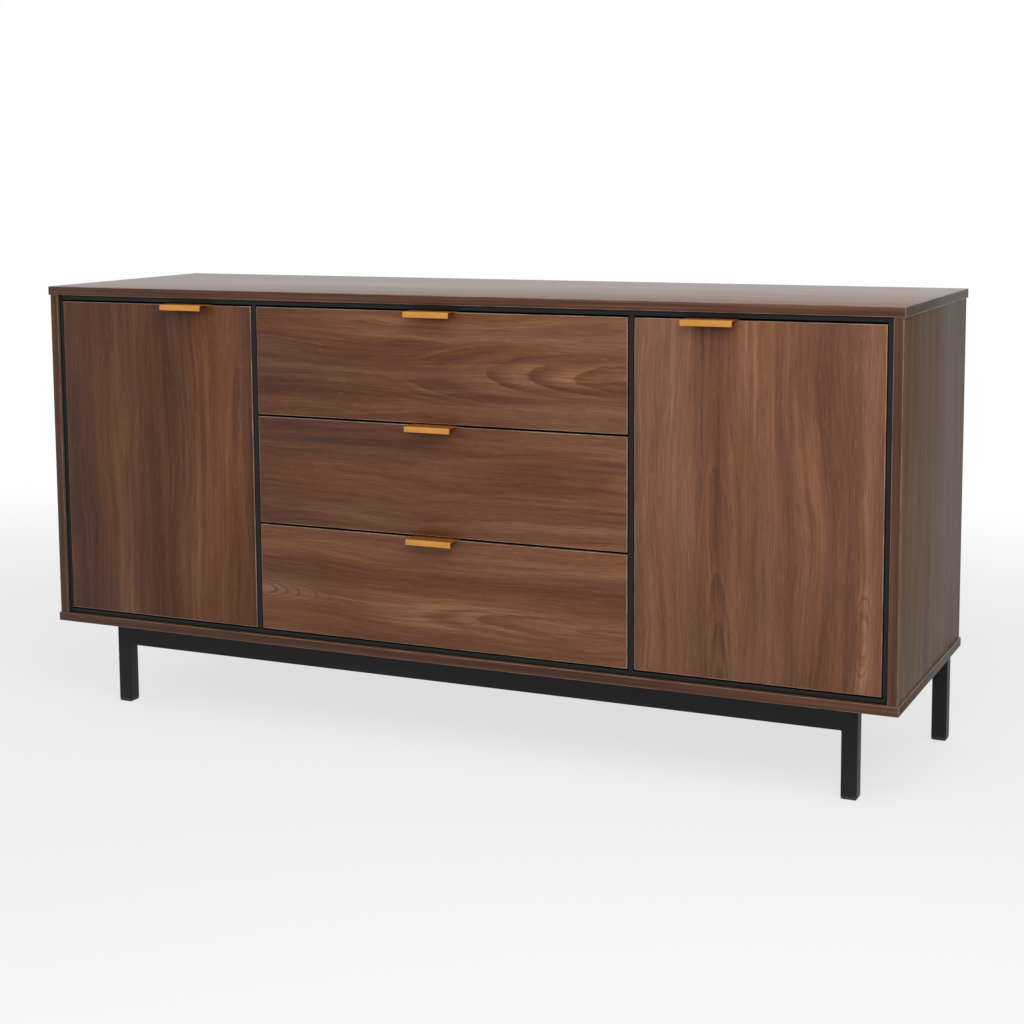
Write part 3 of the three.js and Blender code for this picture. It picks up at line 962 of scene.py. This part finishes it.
@dataclass
class Case:
    """Walnut shell of four boards, and the hardboard back with its screws."""

    back_screw_inset: float = 0.012
    screws_high: int = 5
    screws_wide: int = 9

    def build(self) -> None:
        """Make the boards and the back."""
        self._boards()
        eased_node("back_panel", Body.CARCASS, Slot.BACK_BOARD, HARDBOARD.material(), 0.0005)
        self._back_screws()

    @staticmethod
    def _boards() -> None:
        """Top and bottom with the grain lengthwise, sides with the grain upright; the sides carry painted side light
        and a painted floor reflection, the top a painted sheen.
        """
        flat = {"grain": Axis.X, "across": Axis.Y}
        # Painted light on the sides: their own gloss is turned down, and the veil of the room's light is painted into
        # the tone instead, by the raised lightness and the side-light tones. The tone also grows lighter towards the
        # bottom as a painted reflection of the floor.
        upright = {"grain": Axis.Z, "across": Axis.Y, "gloss": 0.006, "lightness": 0.24, "lengthwise": -0.45}
        upright["tones"] = shaded(WalnutLaminate.tones)
        top_arches = Cathedral(heart=0.03, apex=1.7, slope=0.05, rings=60.0, strength=0.18, reach=0.14)
        side_arches = Cathedral(heart=0.04, apex=-0.3, slope=0.09, rings=80.0, strength=0.08, reach=0.09)
        laminates = {
            # Painted sheen on the top: its tone grows lighter towards the right, where its sheen is stronger.
            "top_panel": WalnutLaminate("walnut_top", seed=11.0, figures=(top_arches,), lengthwise=0.20, gloss=0.30, **flat),
            "bottom_panel": WalnutLaminate("walnut_bottom", seed=13.0, **flat),
            "left_side_panel": WalnutLaminate("walnut_left_side", seed=17.0, figures=(side_arches,), **upright),
            "right_side_panel": WalnutLaminate("walnut_right_side", seed=19.0, figures=(side_arches,), **upright),
        }
        for node, laminate in laminates.items():
            face = Axis.Z if laminate.grain is Axis.X else Axis.X
            WalnutBoard(node, Body.CARCASS, face, laminate).build()

    def _back_screws(self) -> None:
        """A row of screws along each edge of the back and into each partition."""
        low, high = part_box("back_panel")
        inset = self.back_screw_inset
        levels = spaced(low.z + inset, high.z - inset, self.screws_high)
        columns = spaced(low.x + inset, high.x - inset, self.screws_wide)
        spots = {(x, z) for x in columns for z in (levels[0], levels[-1])}
        spots |= {(x, z) for x in (columns[0], columns[-1]) for z in levels}
        for side in Side:
            near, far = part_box(f"{side.word}_partition")
            spots |= {((near.x + far.x) / 2, z) for z in levels[1:-1]}
        seats = [(Vector((x, high.y, z)), Vector((0.0, 1.0, 0.0))) for x, z in sorted(spots)]
        screws("back_panel_screws", Body.CARCASS, seats, finish=ZINC)


@dataclass
class InnerCarcass:
    """Black boards inside the shell, the shelves and their pins."""

    edge: float = 0.0004
    pin_radius: float = 0.0025
    pin_reach: float = 0.009
    pin_inset: float = 0.045

    def build(self) -> None:
        """Make the boards, shelves and pins."""
        boards = ["inner_top_board", "inner_bottom_board"]
        for side in Side:
            boards += [f"inner_{side.word}_board", f"{side.word}_partition", f"{side.word}_shelf"]
        for node in boards:
            eased_node(node, Body.CARCASS, Slot.BLACK_BOARD, BLACK_LAMINATE.material(), self.edge)
        for side in Side:
            self._shelf_pins(side)

    def _shelf_pins(self, side: Side) -> None:
        """Four pins under a shelf, two in each wall."""
        low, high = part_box(f"{side.word}_shelf")
        solid = Solid()
        for x, inward in ((low.x, 1.0), (high.x, -1.0)):
            for y in (low.y + self.pin_inset, high.y - self.pin_inset):
                root = Vector((x, y, low.z - self.pin_radius))
                self._pin(solid, root, inward)
        name = f"{side.word}_shelf_pins"
        solid.piece(name, Body.CARCASS, Slot.NICKEL, [NICKEL.material()])

    def _pin(self, solid: Solid, root: Vector, inward: float) -> None:
        """One pin: a collar on the wall and a round-ended stem."""
        profile = [(0.0, 1.6), (0.0012, 1.6), (0.0013, 1.0), (0.0075, 1.0), (0.0087, 0.75), (0.009, 0.3)]
        loops = []
        for reach, share in profile:
            middle = root + Vector((inward * reach, 0.0, 0.0))
            if share > 1.0:
                middle.z -= (share - 1.0) * self.pin_radius
            angles = [2 * math.pi * i / 16 for i in range(16)]
            radius = share * self.pin_radius
            loops.append([middle + Vector((0.0, radius * math.cos(a), radius * math.sin(a))) for a in angles])
        solid.loft(loops)


@dataclass
class Base:
    """Welded steel base, its weld beads, bolts and plastic feet."""

    bead_radius: float = 0.0017
    bead_pitch: float = 0.0021
    rail_height: float = 0.050
    tube: float = 0.025
    tab: float = 0.032
    tab_thickness: float = 0.003
    tab_columns: tuple[float, ...] = (-0.56, 0.0, 0.56)
    stretcher: float = 0.42

    def build(self) -> None:
        """Make the frame, the beads, the bolts and the feet."""
        eased_node("base_frame", Body.CARCASS, Slot.BLACK_STEEL, POWDER_COAT.material(), 0.0004)
        self._weld_beads()
        self._bolts()
        for row in ("front", "rear"):
            for side in Side:
                self._foot(f"{row}_{side.word}_foot")

    def _top(self) -> float:
        """Height of the top of the rails."""
        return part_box("base_frame")[1].z

    def _foot_middle(self, node: str) -> Vector:
        """Middle of a foot on the floor."""
        low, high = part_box(node)
        return Vector(((low.x + high.x) / 2, (low.y + high.y) / 2, low.z))

    def _weld_beads(self) -> None:
        """Beads under each rail end, and up both flanks of each stretcher."""
        solid = Solid()
        under = self._top() - self.rail_height
        half = self.tube / 2
        for row in ("front", "rear"):
            inward = 1.0 if row == "front" else -1.0
            for side in Side:
                foot = self._foot_middle(f"{row}_{side.word}_foot")
                x = foot.x - side.value * half
                ends = [Vector((x, foot.y + y, under)) for y in (0.8 * -half, 0.8 * half)]
                self._bead(solid, *ends)
                for flank in (-half, half):
                    place = Vector((side.value * self.stretcher + flank, foot.y + inward * half, 0.0))
                    ends = [place + Vector((0.0, 0.0, z)) for z in (under + 0.003, self._top() - 0.003)]
                    self._bead(solid, *ends)
        solid.piece("base_weld_beads", Body.CARCASS, Slot.BLACK_STEEL, [POWDER_COAT.material()])

    def _bead(self, solid: Solid, start: Vector, end: Vector) -> None:
        """Rippled bead of weld along a straight seam."""
        along = (end - start).normalized()
        turn = along.to_track_quat("Z", "Y").to_matrix()
        steps = 4 * max(2, round((end - start).length / self.bead_pitch))
        loops = []
        for i in range(steps + 1):
            ripple = 1.0 + 0.16 * math.sin(i * math.pi / 2)
            taper = min(1.0, 0.35 + 0.3 * min(i, steps - i))
            radius = self.bead_radius * ripple * taper
            middle = start.lerp(end, i / steps)
            angles = [2 * math.pi * k / 10 for k in range(10)]
            ring = [Vector((radius * math.cos(a), radius * math.sin(a), 0.0)) for a in angles]
            loops.append([middle + turn @ point for point in ring])
        solid.loft(loops)

    def _bolts(self) -> None:
        """A screw up through each tab into the bottom panel."""
        seats = []
        for row, inward in (("front", 1.0), ("rear", -1.0)):
            y = self._foot_middle(f"{row}_left_foot").y + inward * (self.tube + self.tab) / 2
            for x in self.tab_columns:
                seats.append((Vector((x, y, self._top() - self.tab_thickness)), Vector((0.0, 0.0, -1.0))))
        screws("base_screws", Body.CARCASS, seats, finish=ZINC)

    def _foot(self, node: str) -> None:
        """Plastic plug with a rounded tread and a thin collar under the tube."""
        middle = self._foot_middle(node)
        half = self.tube / 2
        profile = [(0.0, 0.0030), (0.0007, 0.0012), (0.0018, 0.0004), (0.0046, 0.0002), (0.0050, 0.0), (0.006, 0.0)]
        loops = []
        for rise, inset in profile:
            loops.append(square_loop(middle + Vector((0.0, 0.0, rise)), half - inset, 0.002))
        solid = Solid().loft(loops)
        solid.piece(f"{node}_plug", Body.CARCASS, Slot.BLACK_PLASTIC, [PLASTIC.material()], [node])


@dataclass(frozen=True)
class EdgePull:
    """Folded brass pull: lip, plate over the edge of the front, and screwed tail."""

    node: str
    body: Body
    sheet: float = 0.0015
    bend: float = 0.0025
    lip: float = 0.0095
    lip_bend: float = 0.003
    edge: float = 0.0003
    bend_steps: int = 6
    screw_spacing: float = 0.056

    def build(self) -> None:
        """Make the folded sheet and its screws."""
        low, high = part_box(self.node)
        section = self._section(low, high)
        loops = [[Vector((x, point.y, point.z)) for point in section] for x in (low.x, high.x)]
        solid = Solid().loft(loops).ease(self.edge)
        solid.piece(f"{self.node}_folded", self.body, Slot.BRASS, [BRASS.material()], [self.node])
        middle = (low.x + high.x) / 2
        level = low.z + (high.z - low.z) * 0.42
        seats = []
        for x in (middle - self.screw_spacing / 2, middle + self.screw_spacing / 2):
            seats.append((Vector((x, high.y, level)), Vector((0.0, 1.0, 0.0))))
        screws(f"{self.node}_screws", self.body, seats, SMALL_SCREW)

    def _section(self, low: Vector, high: Vector) -> list[Vector]:
        """Outline of the folded sheet in Y and Z.

        Args:
            low: Lowest corner of the pull.
            high: Highest corner of the pull.

        Returns:
            Points round the section.
        """
        front, rear = low.y + self.lip_bend, high.y - self.bend
        over, behind = high.z - self.lip_bend, high.z - self.bend
        points = [Vector((0.0, low.y, high.z - self.lip))]
        points += self._arc(front, over, self.lip_bend, 180.0, 90.0)
        points += self._arc(rear, behind, self.bend, 90.0, 0.0)
        points += [Vector((0.0, high.y, low.z)), Vector((0.0, high.y - self.sheet, low.z))]
        points += self._arc(rear, behind, self.bend - self.sheet, 0.0, 90.0)
        points += self._arc(front, over, self.lip_bend - self.sheet, 90.0, 180.0)
        points.append(Vector((0.0, low.y + self.sheet, high.z - self.lip)))
        return points

    def _arc(self, y: float, z: float, radius: float, start: float, end: float) -> list[Vector]:
        """Points of a bend, by angle in degrees from +Y towards +Z."""
        angles = [math.radians(angle) for angle in spaced(start, end, self.bend_steps + 1)]
        return [Vector((0.0, y + radius * math.cos(a), z + radius * math.sin(a))) for a in angles]


@dataclass
class Door:
    """Door with its pull, hinge cups and arms."""

    side: Side
    laminate: WalnutLaminate
    cup_radius: float = 0.0175
    cup_depth: float = 0.013
    ear_spacing: float = 0.046
    plate_from_pin: float = 0.057
    plate_spacing: float = 0.040
    plate_thickness: float = 0.0025
    arm_height: float = 0.012
    pin_from_front: float = 0.006

    def build(self) -> None:
        """Make the leaf, the pull and the hinges."""
        body = Body[f"{self.side.name}_DOOR"]
        node = f"{self.side.word}_door"
        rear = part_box(node)[1].y
        bores = []
        for place in ("upper", "lower"):
            cup = f"{self.side.word}_{place}_hinge_cup"
            low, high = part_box(cup)
            middle = (low + high) / 2
            bores.append((Vector((middle.x, rear, middle.z)), self.cup_radius, self.cup_depth))
        WalnutBoard(node, body, Axis.Y, self.laminate).build(bores)
        EdgePull(f"{node}_pull", body).build()
        for place in ("upper", "lower"):
            self._hinge(place, body)

    def _hinge(self, place: str, body: Body) -> None:
        """Cup on the door and arm on the wall, with their screws."""
        cup = f"{self.side.word}_{place}_hinge_cup"
        arm = f"{self.side.word}_{place}_hinge_arm"
        eased_node(cup, body, Slot.NICKEL, NICKEL.material(), 0.0002)
        eased_node(arm, Body.CARCASS, Slot.NICKEL, NICKEL.material(), 0.0004)
        low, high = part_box(cup)
        middle = (low + high) / 2
        seats = []
        for z in (-self.ear_spacing / 2, self.ear_spacing / 2):
            seats.append((Vector((middle.x, high.y, middle.z + z)), Vector((0.0, 1.0, 0.0))))
        screws(f"{cup}_screws", body, seats, SMALL_SCREW)
        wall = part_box(arm)[1 if self.side is Side.RIGHT else 0].x
        inward = Vector((-float(self.side.value), 0.0, 0.0))
        pin_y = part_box(f"{self.side.word}_door")[0].y + self.pin_from_front
        plate = Vector((wall, pin_y + self.plate_from_pin, middle.z)) + inward * self.plate_thickness
        seats = [(plate + Vector((0.0, 0.0, z)), inward) for z in (-self.plate_spacing / 2, self.plate_spacing / 2)]
        for y in (-0.008, 0.022):
            seats.append((plate + inward * self.arm_height + Vector((0.0, y, 0.0)), inward))
        screws(f"{arm}_screws", Body.CARCASS, seats, SMALL_SCREW)


@dataclass
class Drawer:
    """Drawer with its front, pull, box and slides."""

    level: Level
    laminate: WalnutLaminate
    slide_holes: tuple[float, ...] = (0.035, 0.165, 0.330)
    sheet: float = 0.0015
    runner_depth: float = 0.009

    def build(self) -> None:
        """Make the front, the pull, the box and the slides."""
        name = f"{self.level.value}_drawer"
        body = Body[f"{self.level.name}_DRAWER"]
        WalnutBoard(f"{name}_front", body, Axis.Y, self.laminate).build()
        EdgePull(f"{name}_pull", body).build()
        for part in ("back", "base", "left_side", "right_side"):
            eased_node(f"{name}_{part}", body, Slot.DRAWER_BOARD, CHARCOAL_LAMINATE.material(), 0.0006)
        for side in Side:
            self._slide(name, side, body)
            self._box_screws(name, side, body)

    def _slide(self, name: str, side: Side, body: Body) -> None:
        """Fixed rail and moving runner with their screws."""
        rail, runner = f"{name}_{side.word}_rail", f"{name}_{side.word}_runner"
        eased_node(rail, Body.CARCASS, Slot.ZINC, ZINC.material(), 0.0003)
        eased_node(runner, body, Slot.ZINC, ZINC.material(), 0.0003)
        out = Vector((float(side.value), 0.0, 0.0))
        for node, rider, reach, facing in (
            (rail, Body.CARCASS, -self.sheet, -out),
            (runner, body, self.sheet, out),
        ):
            low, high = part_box(node)
            on_outside = (side is Side.RIGHT) == (node == rail)
            face = (high if on_outside else low).x + side.value * reach
            level = (low.z + high.z) / 2
            seats = [(Vector((face, low.y + y, level)), facing) for y in self.slide_holes]
            screws(f"{node}_screws", rider, seats, FLAT_SCREW, ZINC)

    def _box_screws(self, name: str, side: Side, body: Body) -> None:
        """Two screws through the rear of a drawer side into the back."""
        low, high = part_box(f"{name}_{side.word}_side")
        back_low, back_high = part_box(f"{name}_back")
        face = high.x if side is Side.RIGHT else low.x
        y = (back_low.y + back_high.y) / 2
        out = Vector((float(side.value), 0.0, 0.0))
        seats = [(Vector((face, y, low.z + share * (high.z - low.z))), out) for share in (0.26, 0.84)]
        screws(f"{name}_{side.word}_side_screws", body, seats, SMALL_SCREW, ZINC)


@dataclass
class Studio:
    """Pale floor, even world light, one large lamp and the camera."""

    floor_half: float = 9.0
    fade_start: float = 0.9
    fade_end: float = 2.6
    fill_front: float = 0.70
    fill_back: float = 0.29
    key_power: float = 24.0
    key_place: Triple = (1.05, -1.65, 1.70)
    key_target: Triple = (0.30, -0.2, 0.45)
    key_size: float = 1.5
    camera_place: Triple = (1.3336, -2.8052, 0.9394)
    azimuth: float = 24.7465
    tilt: float = 6.6312
    roll: float = -0.3606
    focal_pixels: float = 1851.1
    shift_up: float = -0.12
    sensor: float = 36.0

    def build(self) -> None:
        """Set up the floor, the light and the camera."""
        bpy.context.scene.view_settings.view_transform = "Standard"
        self._floor()
        self._world()
        self._key_lamp()
        self._camera()

    @staticmethod
    def _seen(g: ShaderGraph) -> Channel:
        """1 for rays from the camera and through gloss or glass, 0 for diffuse light."""
        path = [g.node("LightPath", output=f"Is {kind} Ray") for kind in ("Camera", "Glossy", "Transmission")]
        return g.math("MAXIMUM", g.math("MAXIMUM", path[0], path[1]), path[2])

    def _floor(self) -> None:
        """Pale floor that keeps the shadow near the credenza and fades to white further out."""
        data = bpy.data.meshes.new("floor")
        half = self.floor_half
        corners = [(-half, -half, 0.0), (half, -half, 0.0), (half, half, 0.0), (-half, half, 0.0)]
        data.from_pydata(corners, [], [(0, 1, 2, 3)])
        g = new_graph("pale_floor")
        here = g.stretched(g.node("TexCoord", output="Object"), (0.7, 1.0, 1.0))
        distance = g.node("VectorMath", {"operation": "LENGTH"}, {0: here}, "Value")
        away = g.step(distance, self.fade_start, self.fade_end)
        white = self._seen(g) * (away * 0.30 + 0.70)
        matt = g.node("BsdfDiffuse", None, {"Color": (0.86, 0.86, 0.86)})
        glow = g.node("Emission", None, {"Color": (1.0, 1.0, 1.0), "Strength": 1.0})
        mixed = g.node("MixShader", None, {0: white, 1: matt, 2: glow})
        g.end("Material", mixed)
        data.materials.append(g.owner)
        floor = bpy.data.objects.new("floor", data)
        bpy.context.scene.collection.objects.link(floor)

    def _world(self) -> None:
        """White to the eye and in reflections, otherwise a soft fill that is stronger from the front."""
        world = bpy.data.worlds.new("studio")
        bpy.context.scene.world = world
        g = ShaderGraph(world)
        behind = g.step(g.part(g.node("TexCoord", output="Generated"), Axis.Y), -0.9, 0.6)
        front, back, white = (
            g.node("Background", None, {"Color": (1.0, 1.0, 1.0), "Strength": strength})
            for strength in (self.fill_front, self.fill_back, 1.0)
        )
        fill = g.node("MixShader", None, {0: behind, 1: front, 2: back})
        g.end("World", g.node("MixShader", None, {0: self._seen(g), 1: fill, 2: white}))

    def _key_lamp(self) -> None:
        """Large soft lamp to the front right, left out of the reflections."""
        lamp = bpy.data.lights.new("key_lamp", "AREA")
        lamp.energy = self.key_power
        lamp.shape = "SQUARE"
        lamp.size = self.key_size
        holder = bpy.data.objects.new("key_lamp", lamp)
        holder.location = self.key_place
        aim = Vector(self.key_target) - Vector(self.key_place)
        holder.rotation_euler = aim.to_track_quat("-Z", "Y").to_euler()
        holder.visible_glossy = False
        bpy.context.scene.collection.objects.link(holder)

    def _camera(self) -> None:
        """Camera at the viewing angle of the photograph."""
        lens = bpy.data.cameras.new("camera")
        lens.sensor_width = self.sensor
        lens.lens = self.focal_pixels / IMAGE_SIDE * self.sensor
        lens.shift_y = self.shift_up
        holder = bpy.data.objects.new("camera", lens)
        turn = Matrix.Rotation(math.radians(self.azimuth), 4, "Z")
        turn @= Matrix.Rotation(math.radians(90.0 - self.tilt), 4, "X")
        turn @= Matrix.Rotation(math.radians(self.roll), 4, "Z")
        holder.matrix_world = Matrix.Translation(self.camera_place) @ turn
        bpy.context.scene.collection.objects.link(holder)
        bpy.context.scene.camera = holder


def door_laminates() -> dict[Side, WalnutLaminate]:
    """Printed faces of the doors, with the grain upright."""
    upright = {"grain": Axis.Z, "across": Axis.X}
    left_bands = (
        GrainBand(-0.690, 0.045, -0.17),
        GrainBand(-0.588, 0.040, 0.13),
        GrainBand(-0.517, 0.050, -0.17),
        GrainBand(-0.410, 0.050, 0.12),
    )
    right_bands = (
        GrainBand(0.385, 0.055, 0.19),
        GrainBand(0.462, 0.042, -0.11),
        GrainBand(0.573, 0.055, 0.02),
        GrainBand(0.655, 0.035, -0.05),
        GrainBand(0.708, 0.030, 0.08),
    )
    faint = Cathedral(heart=-0.60, apex=1.3, slope=0.05, rings=80.0, strength=0.10, reach=0.06)
    spires = Cathedral(heart=0.474, apex=-0.05, slope=0.08, rings=-110.0, strength=0.18, reach=0.06, fade=0.8)
    eye = Cathedral(heart=0.694, apex=0.268, slope=0.25, rings=150.0, strength=0.20, reach=0.026, fade=0.4)
    # Painted shade on the left door: its tone is darkened because the light falls off towards the left end.
    left = {"seed": 23.0, "figures": (faint,), "broad_bands": left_bands, "lightness": -0.11}
    right = {"seed": 29.0, "figures": (spires, eye), "broad_bands": right_bands, "gloss": 0.30}
    return {
        Side.LEFT: WalnutLaminate("walnut_left_door", **left, **upright),
        Side.RIGHT: WalnutLaminate("walnut_right_door", **right, **upright),
    }


def drawer_laminates() -> dict[Level, WalnutLaminate]:
    """Printed faces of the drawers, with the grain level."""
    level = {"grain": Axis.X, "across": Axis.Z}
    flames = Cathedral(heart=0.629, apex=0.42, slope=0.14, rings=-78.0, strength=0.34, reach=0.090, fade=0.85, patchy=0.8)
    straight = Cathedral(heart=0.470, apex=2.2, slope=0.04, rings=80.0, strength=0.12, reach=0.12)
    darts = Cathedral(heart=0.244, apex=-0.40, slope=0.14, rings=255.0, strength=0.26, reach=0.036, fade=0.35)
    tongues = Cathedral(heart=0.232, apex=0.30, slope=0.07, rings=-120.0, strength=0.24, reach=0.034, fade=0.55)
    upper_bands = (
        GrainBand(0.693, 0.018, 0.06),
        GrainBand(0.660, 0.025, -0.07),
        GrainBand(0.598, 0.026, -0.06),
        GrainBand(0.560, 0.018, 0.08),
    )
    middle_bands = (GrainBand(0.515, 0.030, -0.06), GrainBand(0.445, 0.022, 0.04))
    lower_bands = (
        GrainBand(0.336, 0.016, 0.06),
        GrainBand(0.292, 0.028, -0.11),
        GrainBand(0.230, 0.036, 0.07),
    )
    upper = {"seed": 31.0, "figures": (flames,), "broad_bands": upper_bands, "lengthwise": 0.30}
    middle = {"seed": 37.0, "figures": (straight,), "broad_bands": middle_bands, "lightness": -0.04, "lengthwise": 0.42}
    lower = {"seed": 41.0, "figures": (darts, tongues), "broad_bands": lower_bands}
    return {
        Level.UPPER: WalnutLaminate("walnut_upper", **upper, **level),
        Level.MIDDLE: WalnutLaminate("walnut_middle", **middle, **level),
        Level.LOWER: WalnutLaminate("walnut_lower", **lower, **level),
    }


def main() -> None:
    """Build the credenza and its studio, piece by piece."""
    logging.basicConfig(level=logging.INFO, format="%(message)s")
    Studio().build()
    Case().build()
    InnerCarcass().build()
    Base().build()
    for side, laminate in door_laminates().items():
        Door(side, laminate).build()
    for level, laminate in drawer_laminates().items():
        Drawer(level, laminate).build()


if __name__ == "__main__":
    main()
